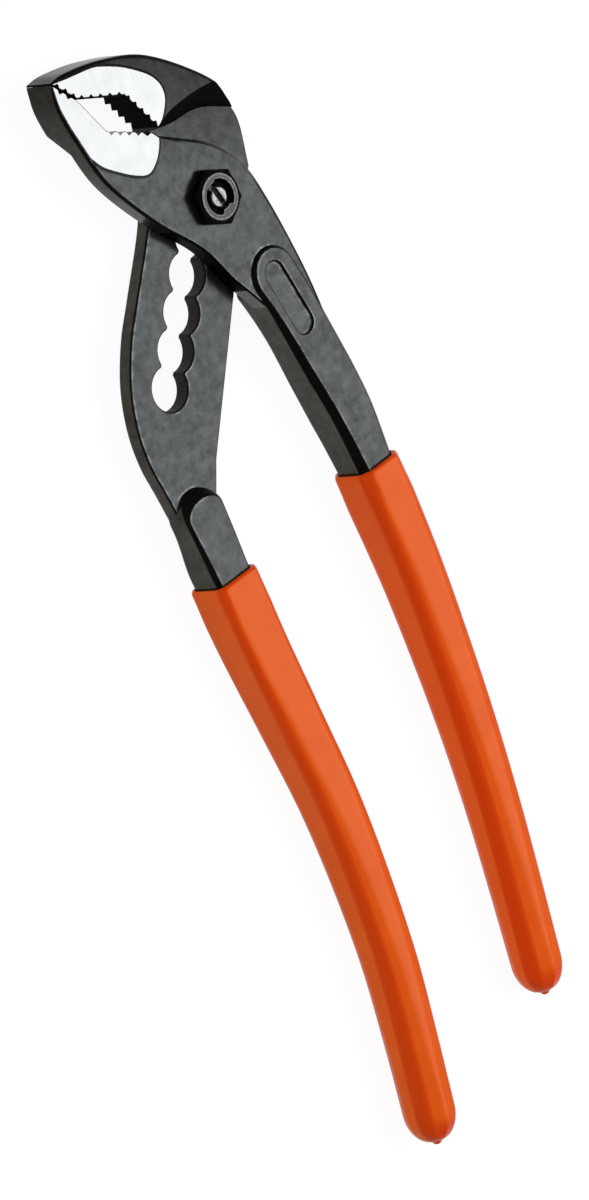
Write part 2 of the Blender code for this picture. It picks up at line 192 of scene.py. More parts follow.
# Front lever, from the pivot
JAW_BELLY = [
    (-27.6, 41.1), (-28.3, 36.0), (-27.3, 28.0), (-24.5, 16.2),
    (-16.8, 2.8), (-8.3, -8.3), (-4.4, -17.3),
]
PLATE_HIP = [(-1.4, -23.0), (3.4, -32.0)]
PLATE_SHOULDER = [
    (-0.7, 14.8), (5.2, 10.7), (9.8, 5.4), (12.4, 0.2),
    (13.8, -8.1), (14.7, -18.4), (15.1, -28.0), (14.8, -38.0),
]
FRONT_NECK = [(6.3, -22.3), (7.9, -30.0), (9.6, -42.0), (11.4, -57.0)]
FRONT_MOUTH = (11.6, -71.5)
FRONT_REACH = 119.1
FRONT_TAIL = [(11.3, 0.198), (10.0, 0.359), (8.1, 0.516), (5.5, 0.668), (2.2, 0.818), (-2.1, 1.0)]
PAD_SLOPE = 0.5
RELIEF_RADIUS = 20.6
RELIEF_ARC = (-80, -58)
RELIEF_GAP = 0.4
CUTTER_REACH = 2.5 * RELIEF_RADIUS
LAP_SHOULDER = [(-6.5, 19.5), (-9.5, 21.0), (-13.2, 20.2), (-26.9, 25.4)]
LAP_RAMP = [(-6.5, 19.5), (-9.5, 21.2), (-13.6, 21.4), (-28.0, 31.4)]
OVAL_TOP = (6.0, -22.0)
OVAL_BOTTOM = (8.0, -34.9)
OVAL_RADIUS = 2.6
OVAL_DEPTH = 0.6
OVAL_EDGE = 0.35
PLATE_ROUNDING = 0.5
BELLY_ROUNDING = (0.5, 0.5, 0.5, 0.5, 0.7, 0.9, 0.9, 0.8, 0.5)
BELLY_BACK_ROUNDING = 0.6
# Side faces of the front plate's belly over the slotted plate, painted shade black
BELLY_PAINTED_SHADE = slice(12, 38)
SHOULDER_ROUNDING = (0.5, 1.2, 1.5, 1.3, 1.0, 0.8, 0.7, 0.6)
LOWER_BITE_ROUNDING = (0.22, 0.22)
UPPER_BITE_ROUNDING = (0.25, 0.4, 0.4, 0.25)

# Handle bars: sizes at even steps from the nose to the mouth of the grip, and last at the end
FRONT_WIDTHS = (12.6, 12.8, 12.7, 11.8, 10.2, 7.8)
FRONT_THICKNESSES = (11.2, 9.9, 7.3)
FRONT_CHAMFERS = (0.7, 1.2, 1.4, 1.4, 1.6, 1.4)
FRONT_RAMP = (0.2, 0.75)
SLOTTED_WIDTHS = (11.6, 10.5, 8.0)
SLOTTED_THICKNESSES = (8.7, 8.8, 7.6)
SLOTTED_CHAMFERS = (0.6, 0.9, 1.4)
SLOTTED_RAMP = (0.0, 0.9)
BAR_CORNER = 0.4
BAR_END_TAPER = 0.3
BAR_END_RUN = 7.0
NOSE_STEPS = 32

# Grips. The mitre is what a chamfer between square sides gains as the coat grows by one
MITRE = 0.586
GRIP_CLEARANCE = 0.1
GRIP_WALLS = (1.1, 1.1, 1.25, 1.6)
GRIP_CREST = 0.2
GRIP_CORNER = 0.45
GRIP_FACET_PULL = 0.33
GRIP_FACETS = (0.0, 0.5, 1.0, 1.5, 1.9, 2.3)
GRIP_FACET_PARTS = (0.7, 1.35, 0.5)
GRIP_FACET_START = 8.0
GRIP_FACET_RUN = 120.0
GRIP_RIM = [
    (0.0, 0.6), (0.03, 0.3), (0.12, 0.1), (0.3, 0.0), (0.5, 0.03),
    (0.7, 0.15), (0.86, 0.38), (0.96, 0.7), (1.0, 1.1),
]
GRIP_INSIDE = (8.0, 3.0)
GRIP_RIM_LENGTH = 2.5
GRIP_RING_STEP = 2.0
GRIP_END_START = 3.5
GRIP_END_LENGTH = 6.8
GRIP_END_ROUNDING = 0.85
GRIP_END_TURNS = range(9, 90, 9)
DRIP_RADIUS = 1.1
DRIP_LENGTH = 0.8
DRIP_TURNS = (10, 40, 65, 85)

# Camera: turn of the tool on the picture, tilt and roll, and the place of the pivot
CAMERA_TURN, CAMERA_TILT, CAMERA_ROLL = 27.0, 41.4, 3.7
CAMERA_DISTANCE = 5000.0
PICTURE_HEIGHT = 255.3
PIVOT_RIGHT, PIVOT_UP = -20.32, 85.45

# Stage: the middle of the tool, and the floor a hair below what rests on it
TOOL_MIDDLE = (-5.0, -80.0, 6.0)
FLOOR_DROP = 0.02
FLOOR_REACH = 8000.0

SLOT_UP = Vector((math.sin(math.radians(SLOT_ANGLE)), math.cos(math.radians(SLOT_ANGLE))))
LAST_HOLE = -SLOT_UP * SLOT_PITCH * (SLOT_HOLES - 1)
TOOL_RIGHT = Vector((math.cos(math.radians(CAMERA_TURN)), -math.sin(math.radians(CAMERA_TURN)), 0))
TOOL_UP = Vector((math.sin(math.radians(CAMERA_TURN)), math.cos(math.radians(CAMERA_TURN)), 0))
UPWARD = Vector((0, 0, 1))


# Outlines

def from_last_hole(points):
    """Points given from the last hole of the slot, set out from the pivot."""
    return [LAST_HOLE + Vector(point) for point in points]


def spline(points, steps=SPLINE_STEPS):
    """A smooth run of points through the given ones."""
    given = [Vector(point) for point in points]
    knots = [2 * given[0] - given[1], *given, 2 * given[-1] - given[-2]]
    run = []
    for before, start, end, after in zip(knots, knots[1:], knots[2:], knots[3:]):
        for step in range(steps):
            t = step / steps
            run.append(
                start
                + 0.5 * t * (end - before)
                + t**2 * (before - 2.5 * start + 2 * end - 0.5 * after)
                + t**3 * (1.5 * (start - end) + 0.5 * (after - before))
            )
    return run + [given[-1]]


def arc(centre, radius, first, last, steps=16):
    """Points on a circle from one angle to another, in degrees."""
    angles = [math.radians(first + (last - first) * step / steps) for step in range(steps + 1)]
    return [Vector(centre) + radius * Vector((math.cos(angle), math.sin(angle))) for angle in angles]


def circle(radius, steps=72):
    return arc((0, 0), radius, 0, 360, steps)[:-1]


def stadium(first, last, radius):
    """A slot with round ends about two centres."""
    run = Vector(last) - Vector(first)
    turn = math.degrees(math.atan2(run.y, run.x))
    return arc(last, radius, turn - 90, turn + 90) + arc(first, radius, turn + 90, turn + 270)


def soften(corners, reach, steps=3):
    """A closed outline with each corner rounded over the given reach."""
    run = []
    for i, corner in enumerate(corners):
        corner, ends = Vector(corner), []
        for other in (corners[i - 1], corners[(i + 1) % len(corners)]):
            side = Vector(other) - corner
            ends.append(corner + side.normalized() * min(reach, CORNER_SHARE * side.length))
        for step in range(steps + 1):
            t = step / steps
            run.append((1 - t)**2 * ends[0] + 2 * t * (1 - t) * corner + t**2 * ends[1])
    return run


def mitres(outline):
    """For each point of a closed outline, the way inwards that moves both its sides in by one."""
    area = sum(a.x * b.y - a.y * b.x for a, b in zip(outline, outline[1:] + outline[:1]))
    ways = []
    for i, point in enumerate(outline):
        sides = (point - outline[i - 1], outline[(i + 1) % len(outline)] - point)
        inward = [Vector((-side.y, side.x)).normalized() * math.copysign(1, area) for side in sides]
        ways.append((inward[0] + inward[1]) / max(0.5, 1 + inward[0].dot(inward[1])))
    return ways


def between(values, share):
    """The value at a share of the way along evenly spaced values."""
    place = share * (len(values) - 1)
    first = min(int(place), len(values) - 2)
    return values[first] + (values[first + 1] - values[first]) * (place - first)


# Meshes

def shell(rings, ring_of_rings=False):
    """A closed mesh through rings of points: capped at both ends, or joined from the last to the first."""
    build = bmesh.new()
    rows = [[build.verts.new(Vector(point) * MM) for point in ring] for ring in rings]
    pairs = zip(rows, rows[1:] + rows[:1]) if ring_of_rings else zip(rows, rows[1:])
    for lower, upper in pairs:
        for i in range(len(lower)):
            j = (i + 1) % len(lower)
            build.faces.new((lower[i], lower[j], upper[j], upper[i]))
    if not ring_of_rings:
        build.faces.new(reversed(rows[0]))
        build.faces.new(rows[-1])
    bmesh.ops.remove_doubles(build, verts=build.verts, dist=1e-7)
    bmesh.ops.recalc_face_normals(build, faces=build.faces)
    return build


def flat(outline, height):
    """A ring of an outline at one height."""
    return [(x, y, height) for x, y in outline]


def plate(runs, back, front, steps=4):
    """A slab with rounded edges. Each run of its outline has a rounding of the front and of the back edge."""
    outline, front_sizes, back_sizes = [], [], []
    for points, front_size, back_size in runs:
        outline += [Vector(point) for point in points]
        for i in range(len(points)):
            front_sizes.append(between(front_size, i / max(1, len(points) - 1)))
            back_sizes.append(back_size)
    ways = mitres(outline)
    turns = [math.radians(90 * step / steps) for step in range(steps + 1)]
    rings = []
    for height, sizes, side, run in ((back, back_sizes, 1, turns), (front, front_sizes, -1, turns[::-1])):
        for turn in run:
            inset, rise = 1 - math.sin(turn), side * (1 - math.cos(turn))
            rings.append([(*(point + way * size * inset), height + size * rise)
                          for point, way, size in zip(outline, ways, sizes)])
    return shell(rings)


def grind(build, bite, edge):
    """Splits the ground side of a jaw off the front face, a step above a sloping border of the forging."""
    face = max(build.faces, key=lambda side: (side.normal.z > FLAT_UP) * side.calc_area())
    front = face.calc_center_median().z

    def nearest(point):
        return min(face.verts, key=lambda vert: (vert.co.xy - Vector(point) * MM).length)

    kept = nearest(bite)
    inner = spline(edge, steps=6)
    middle = Vector(bite)
    outer = []
    for i, point in enumerate(inner):
        run = inner[min(i + 1, len(inner) - 1)] - inner[max(i - 1, 0)]
        away = Vector((-run.y, run.x)).normalized()
        outer.append(point + away * math.copysign(GROUND_BORDER, away.dot(point - middle)))
    ends = nearest(edge[0]), nearest(edge[-1])
    rest = None
    for path in (outer, inner):
        points = [Vector((*point * MM, front)) for point in path[2:-2]]
        other, _ = bmesh.utils.face_split(face, *ends, coords=points)
        ground, left = (face, other) if kept in face.verts else (other, face)
        rest = rest or left
        face = ground
    face.material_index = LEVER_BRIGHT
    for vert in rest.verts:
        if vert not in ends:
            vert.co.z -= GROUND_STEP * MM
    bmesh.ops.triangulate(build, faces=[side for side in build.faces if len(side.verts) > 4])
    return build


def paint(build, path, index):
    """Gives the side faces along a path another finish."""
    runs = [(Vector(start), Vector(end)) for start, end in zip(path, path[1:])]
    for face in build.faces:
        middle = face.calc_center_median().xy / MM
        if face.normal.z > FLAT_UP:
            continue
        for start, end in runs:
            along = max(0, min(1, (middle - start).dot(end - start) / (end - start).length_squared))
            if (middle - start - (end - start) * along).length < PAINT_REACH:
                face.material_index = index
    return build


def add_object(name, build, *materials):
    """An object of a built mesh, with its finishes in order."""
    mesh = bpy.data.meshes.new(name)
    build.to_mesh(mesh)
    build.free()
    for material in materials:
        mesh.materials.append(material)
    made = bpy.data.objects.new(name, mesh)
    bpy.context.scene.collection.objects.link(made)
    return made


def combine(body, tool, operation, overlapping=False):
    """Joins a helper to a body, or cuts it out. The helper goes when the body is settled."""
    modifier = body.modifiers.new(tool.name, 'BOOLEAN')
    modifier.operation = operation
    modifier.object = tool
    modifier.use_self = overlapping
    modifier.material_mode = 'TRANSFER'


def join(body, tool):
    combine(body, tool, 'UNION')


def cut(body, tool, overlapping=False):
    combine(body, tool, 'DIFFERENCE', overlapping)


def evaluated(body):
    """The body's mesh with its modifiers in it."""
    graph = bpy.context.evaluated_depsgraph_get()
    return bpy.data.meshes.new_from_object(body.evaluated_get(graph), depsgraph=graph)


def settle(body):
    """Keeps the joined and cut shape as the body's own mesh, smooth where round and even where flat."""
    mesh = evaluated(body)
    helpers = [modifier.object for modifier in body.modifiers]
    body.modifiers.clear()
    for helper in helpers:
        bpy.data.objects.remove(helper)
    mesh.shade_smooth()
    mesh.set_sharp_from_angle(angle=math.radians(SMOOTH_ANGLE))
    body.data = mesh
    weights = body.modifiers.new('even_flats', 'WEIGHTED_NORMAL')
    weights.keep_sharp = True
    weights.weight = 100
    mesh = evaluated(body)
    body.modifiers.clear()
    body.data = mesh
    return body


# Node trees

def linear(code):
    """A colour written as sRGB hex, for a shader."""
    parts = [int(code[i:i + 2], 16) / 255 for i in (1, 3, 5)]
    return (*[part / 12.92 if part <= 0.04045 else ((part + 0.055) / 1.055)**2.4 for part in parts], 1.0)


def node(tree, kind, settings=None, *values, **inputs):
    """Adds a node with its settings. Values go to its open inputs in order, and inputs go by name.

    Each is a number, a vector, a colour as sRGB hex, a socket, or a node for its first open output.
    """
    made = tree.nodes.new(kind)
    for name, value in (settings or {}).items():
        setattr(made, name, value)
    pairs = list(zip([socket for socket in made.inputs if socket.enabled], values))
    pairs += [(made.inputs[name.replace('_', ' ')], value) for name, value in inputs.items()]
    for socket, value in pairs:
        if isinstance(value, bpy.types.Node):
            value = next(output for output in value.outputs if output.enabled)
        if isinstance(value, bpy.types.NodeSocket):
            tree.links.new(value, socket)
        else:
            socket.default_value = linear(value) if isinstance(value, str) else value
    return made


def row_tree():
    """A tree that repeats a shape along a straight row."""
    tree = bpy.data.node_groups.new('straight_row', 'GeometryNodeTree')
    sockets = tree.interface
    for name, kind in (('Shape', 'Object'), ('Start', 'Vector'), ('Step', 'Vector'), ('Count', 'Int'),
                       ('Finish', 'Material')):
        sockets.new_socket(name, in_out='INPUT', socket_type='NodeSocket' + kind)
    sockets.new_socket('Row', in_out='OUTPUT', socket_type='NodeSocketGeometry')
    given = node(tree, 'NodeGroupInput').outputs
    line = node(tree, 'GeometryNodeMeshLine', {'mode': 'OFFSET'},
                Count=given['Count'], Start_Location=given['Start'], Offset=given['Step'])
    shape = node(tree, 'GeometryNodeObjectInfo', {'transform_space': 'ORIGINAL'}, Object=given['Shape'])
    copies = node(tree, 'GeometryNodeInstanceOnPoints', Points=line, Instance=shape.outputs['Geometry'])
    real = node(tree, 'GeometryNodeRealizeInstances', Geometry=copies)
    painted = node(tree, 'GeometryNodeSetMaterial', Geometry=real, Material=given['Finish'])
    node(tree, 'NodeGroupOutput', Row=painted)
    return tree


def row(tree, shape, start, step, count, finish):
    """One mesh of a shape repeated along a row. The shape itself goes."""
    holder = bpy.data.objects.new(shape.name + '_row', bpy.data.meshes.new(shape.name + '_row'))
    bpy.context.scene.collection.objects.link(holder)
    modifier = holder.modifiers.new('row', 'NODES')
    modifier.node_group = tree
    values = {'Shape': shape, 'Start': (*start * MM, 0), 'Step': (*step * MM, 0), 'Count': count,
              'Finish': finish}
    for socket in tree.interface.items_tree:
        if socket.in_out == 'INPUT':
            modifier[socket.identifier] = values[socket.name]
    holder.data = evaluated(holder)
    holder.modifiers.clear()
    bpy.data.objects.remove(shape)
    return holder


# Finishes

NOISE, RANGE, MATH, MIX = 'ShaderNodeTexNoise', 'ShaderNodeMapRange', 'ShaderNodeMath', 'ShaderNodeMix'
BUMP, VECTORS, PLACE = 'ShaderNodeBump', 'ShaderNodeVectorMath', 'ShaderNodeTexCoord'
SURFACE, OUTPUT = 'ShaderNodeBsdfPrincipled', 'ShaderNodeOutputMaterial'
PLUS, MINUS, TIMES = {'operation': 'ADD'}, {'operation': 'SUBTRACT'}, {'operation': 'MULTIPLY'}
MOST, DOT = {'operation': 'MAXIMUM'}, {'operation': 'DOT_PRODUCT'}
COLOURS = {'data_type': 'RGBA'}


def new_finish(name):
    """A new material and its empty tree."""
    material = bpy.data.materials.new(name)
    material.use_nodes = True
    material.node_tree.nodes.clear()
    return material, material.node_tree


def facing_up(tree):
    """How far a face looks up: 1 on the front flats and 0 on the sides."""
    normal = node(tree, 'ShaderNodeNewGeometry').outputs['True Normal']
    return node(tree, 'ShaderNodeSeparateXYZ', Vector=normal).outputs['Z']


def edges(tree, radius, towards=None):
    """A mask that is 1 on edges and fades over the radius: on all edges, or on those that lean one way."""
    soft = node(tree, 'ShaderNodeBevel', {'samples': 6}, Radius=radius)
    plain = node(tree, 'ShaderNodeNewGeometry').outputs['Normal']
    mask = node(tree, RANGE, None, node(tree, VECTORS, DOT, soft, plain), 0.9992, 0.985, 0.0, 1.0)
    if towards is None:
        return mask
    lean = node(tree, RANGE, None, node(tree, VECTORS, DOT, soft, towards), 0.02, 0.08, 0.0, 1.0)
    return node(tree, MATH, TIMES, mask, lean)


def black_steel():
    """Blackened and oiled forging: a cloudy grey sheen on the flats, and pale specks. Painted shade: a weaker
    sheen on the head,
    and black edges. Painted reflection: olive sides. Painted highlights: thin pale lines along the edges on
    the left.

    Real scale is finer than a pixel, so its grit and specks are drawn coarser.
    """
    material, tree = new_finish('black_oiled_forged_steel')
    where = node(tree, PLACE).outputs['Object']
    cloud_size, blotch, grit, speck, edge_reach = 6.0 * MM, 2.2 * MM, 0.35 * MM, 0.45 * MM, 1.0 * MM
    head_low, head_high = 4.0 * MM, 26.0 * MM
    cloud = node(tree, NOISE, Vector=where, Scale=1 / cloud_size, Detail=3.0, Roughness=0.55)
    mottle = node(tree, NOISE, Vector=where, Scale=1 / blotch, Detail=4.0, Roughness=0.6)
    grain = node(tree, NOISE, Vector=where, Scale=1 / grit, Detail=2.0, Roughness=0.55)
    specks = node(tree, NOISE, Vector=where, Scale=1 / speck, Detail=1.0, Roughness=0.55)
    specks = node(tree, RANGE, None, specks, 0.72, 0.8, 0.0, 0.35)
    facing = facing_up(tree)
    flats = node(tree, RANGE, None, facing, 0.965, 0.985, 0.0, 1.0)
    sides = node(tree, RANGE, None, facing, 0.15, 0.3, 1.0, 0.0)
    edge = node(tree, MATH, MINUS, node(tree, MATH, MINUS, 1.0, flats), sides)
    # Painted highlight: pale lines on the flats beside the edges that lean left
    pale_highlight = node(tree, RANGE, None, mottle, 0.4, 0.6, 0.2, 1.0)
    pale_highlight = node(tree, MATH, TIMES, edges(tree, edge_reach, -TOOL_RIGHT), pale_highlight)
    pale_highlight = node(tree, MATH, TIMES, pale_highlight, flats)
    tone = node(tree, MATH, PLUS, mottle, node(tree, MATH, TIMES, grain, 0.18))
    colour = node(tree, RANGE, None, tone, 0.42, 0.78, 0.0, 1.0)
    colour = node(tree, MIX, COLOURS, colour, '#161614', '#1f1e1b')
    colour = node(tree, MIX, COLOURS, specks, colour, '#8a8b87')
    colour = node(tree, MIX, COLOURS, pale_highlight, colour, '#b4b6b3')
    # Painted reflection: the sides are tinted olive, and their sheen is a little weaker
    colour = node(tree, MIX, COLOURS, node(tree, MATH, TIMES, sides, 0.7), colour, '#191812')
    # Painted shade: the roundings between the flats and the sides are nearly black, and their sheen is weaker
    colour = node(tree, MIX, COLOURS, edge, colour, '#10100d')
    sheen = node(tree, MATH, PLUS, tone, node(tree, MATH, TIMES, cloud, 0.5))
    sheen = node(tree, RANGE, None, sheen, 0.64, 1.04, 0.28, 0.53)
    # Painted shade: the sheen is weaker towards the head
    head_shade = node(tree, RANGE, None, node(tree, VECTORS, DOT, where, TOOL_UP), head_low, head_high, 0.0, 1.0)
    for mask, least in ((head_shade, 0.33), (edge, 0.25), (sides, 0.8)):
        sheen = node(tree, MATH, TIMES, sheen, node(tree, RANGE, None, mask, 0.0, 1.0, 1.0, least))
    # Painted reflection: the sheen is tinted faintly cyan on the flats and warm olive on the sides
    shader = node(tree, SURFACE, Base_Color=colour, Specular_IOR_Level=sheen,
                  Specular_Tint=node(tree, MIX, COLOURS, sides, '#f4feff', '#f6ebd0'),
                  Roughness=node(tree, RANGE, None, cloud, 0.35, 0.65, 0.26, 0.2),
                  Normal=node(tree, BUMP, Height=tone, Strength=0.22, Distance=0.03 * MM))
    node(tree, OUTPUT, Surface=shader)
    return material


def matt_black(name, dark, light, shine):
    """Matt black painted shade: in the bites and tooth grooves, the scoop, on the belly wall under the front
    plate, on the nut's blackened sides and on the bolt down in the nut's bore; less dark, on the walls of the
    slot's holes.

    Its grit is drawn coarser than it is, so that it shows.
    """
    material, tree = new_finish(name)
    where = node(tree, PLACE).outputs['Object']
    grit = 0.5 * MM
    grain = node(tree, NOISE, Vector=where, Scale=1 / grit, Detail=3.0, Roughness=0.55)
    shader = node(tree, SURFACE, Base_Color=node(tree, MIX, COLOURS, grain, dark, light),
                  Specular_IOR_Level=shine,
                  Roughness=node(tree, RANGE, None, grain, 0.3, 0.7, 0.5, 0.7),
                  Normal=node(tree, BUMP, Height=grain, Strength=0.4, Distance=0.04 * MM))
    node(tree, OUTPUT, Surface=shader)
    return material


def ground_steel():
    """Bare steel ground bright on a wheel: almost white, with fine lines across the jaw.

    Real lines are finer than a pixel, so they are drawn coarser.
    """
    material, tree = new_finish('bright_ground_steel')
    where = node(tree, PLACE).outputs['Object']
    line, cloud_size, lay = 0.35 * MM, 5.0 * MM, math.radians(30)
    turned = node(tree, 'ShaderNodeMapping', Vector=where, Rotation=(0, 0, lay), Scale=(1.0, 0.04, 1.0))
    lines = node(tree, NOISE, Vector=turned, Scale=1 / line, Detail=2.0, Roughness=0.55)
    cloud = node(tree, NOISE, Vector=where, Scale=1 / cloud_size, Detail=2.0, Roughness=0.55)
    shader = node(tree, SURFACE, Base_Color=node(tree, MIX, COLOURS, lines, '#9fa1a2', '#aeb0b1'),
                  Metallic=1.0,
                  Roughness=node(tree, RANGE, None, cloud, 0.3, 0.7, 0.38, 0.42),
                  Normal=node(tree, BUMP, Height=lines, Strength=0.2, Distance=0.02 * MM))
    node(tree, OUTPUT, Surface=shader)
    return material


def pivot_steel():
    """Blackened machined steel of bolt and nut: dark grey turned faces, a little lighter on the edges."""
    material, tree = new_finish('blackened_machined_steel')
    where = node(tree, PLACE).outputs['Object']
    blotch, edge_reach = 0.9 * MM, 0.2 * MM
    mottle = node(tree, NOISE, Vector=where, Scale=1 / blotch, Detail=4.0, Roughness=0.55)
    worn = node(tree, RANGE, None, mottle, 0.35, 0.6, 0.1, 0.6)
    worn = node(tree, MATH, TIMES, edges(tree, edge_reach), worn)
    colour = node(tree, RANGE, None, mottle, 0.35, 0.65, 0.0, 1.0)
    colour = node(tree, MIX, COLOURS, colour, '#141413', '#242422')
    shader = node(tree, SURFACE, Base_Color=node(tree, MIX, COLOURS, worn, colour, '#9a9b97'),
                  Specular_IOR_Level=0.42,
                  Roughness=node(tree, RANGE, None, mottle, 0.3, 0.7, 0.28, 0.38),
                  Normal=node(tree, BUMP, Height=mottle, Strength=0.35, Distance=0.04 * MM))
    node(tree, OUTPUT, Surface=shader)
    return material


def rubbed_highlight_steel():
    """Rims of the nut and the staked end of the bolt, rubbed bare and made pale as a painted highlight:
    uneven pale grey.
    """
    material, tree = new_finish('rubbed_bare_steel')
    where = node(tree, PLACE).outputs['Object']
    blotch = 0.6 * MM
    mottle = node(tree, NOISE, Vector=where, Scale=1 / blotch, Detail=3.0, Roughness=0.55)
    colour = node(tree, RANGE, None, mottle, 0.35, 0.65, 0.0, 1.0)
    shader = node(tree, SURFACE, Base_Color=node(tree, MIX, COLOURS, colour, '#868783', '#c8c9c5'),
                  Metallic=0.2,
                  Roughness=node(tree, RANGE, None, mottle, 0.3, 0.7, 0.45, 0.32),
                  Normal=node(tree, BUMP, Height=mottle, Strength=0.4, Distance=0.05 * MM))
    node(tree, OUTPUT, Surface=shader)
    return material


def orange_vinyl():
    """Dipped soft vinyl: satin orange, with the facets painted a deeper red as shade, a little uneven, with
    shallow waves.
    """
    material, tree = new_finish('dipped_orange_vinyl')
    where = node(tree, PLACE).outputs['Object']
    cloud_size, wave = 9.0 * MM, 1.6 * MM
    cloud = node(tree, NOISE, Vector=where, Scale=1 / cloud_size, Detail=2.0, Roughness=0.55)
    skin = node(tree, NOISE, Vector=where, Scale=1 / wave, Detail=3.0, Roughness=0.55)
    facing = facing_up(tree)
    # Painted shade: the facets between the sides and the top are a deeper red
    off_sides = node(tree, RANGE, None, facing, 0.1, 0.35, 0.0, 1.0)
    off_top = node(tree, RANGE, None, facing, 0.9, 0.97, 1.0, 0.0)
    facet_shade = node(tree, MATH, TIMES, off_sides, off_top)
    colour = node(tree, RANGE, None, cloud, 0.35, 0.65, 0.0, 1.0)
    colour = node(tree, MIX, COLOURS, colour, '#f66211', '#fb6815')
    shader = node(tree, SURFACE, Base_Color=node(tree, MIX, COLOURS, facet_shade, colour, '#ee4c10'),
                  Specular_IOR_Level=0.11,
                  Roughness=node(tree, RANGE, None, skin, 0.3, 0.7, 0.27, 0.34),
                  Normal=node(tree, BUMP, Height=skin, Strength=0.2, Distance=0.05 * MM))
    node(tree, OUTPUT, Surface=shader)
    return material


# Handle bars and grips

def octagon(width, bottom, top, chamfer, run, rise):
    """Corners of a bar's section: up the right side and down the left. Run and rise are the top chamfer's."""
    side = width / 2
    right = [(side - chamfer, bottom), (side, bottom + chamfer), (side, top - rise), (side - run, top)]
    return right + [(-x, z) for x, z in reversed(right)]


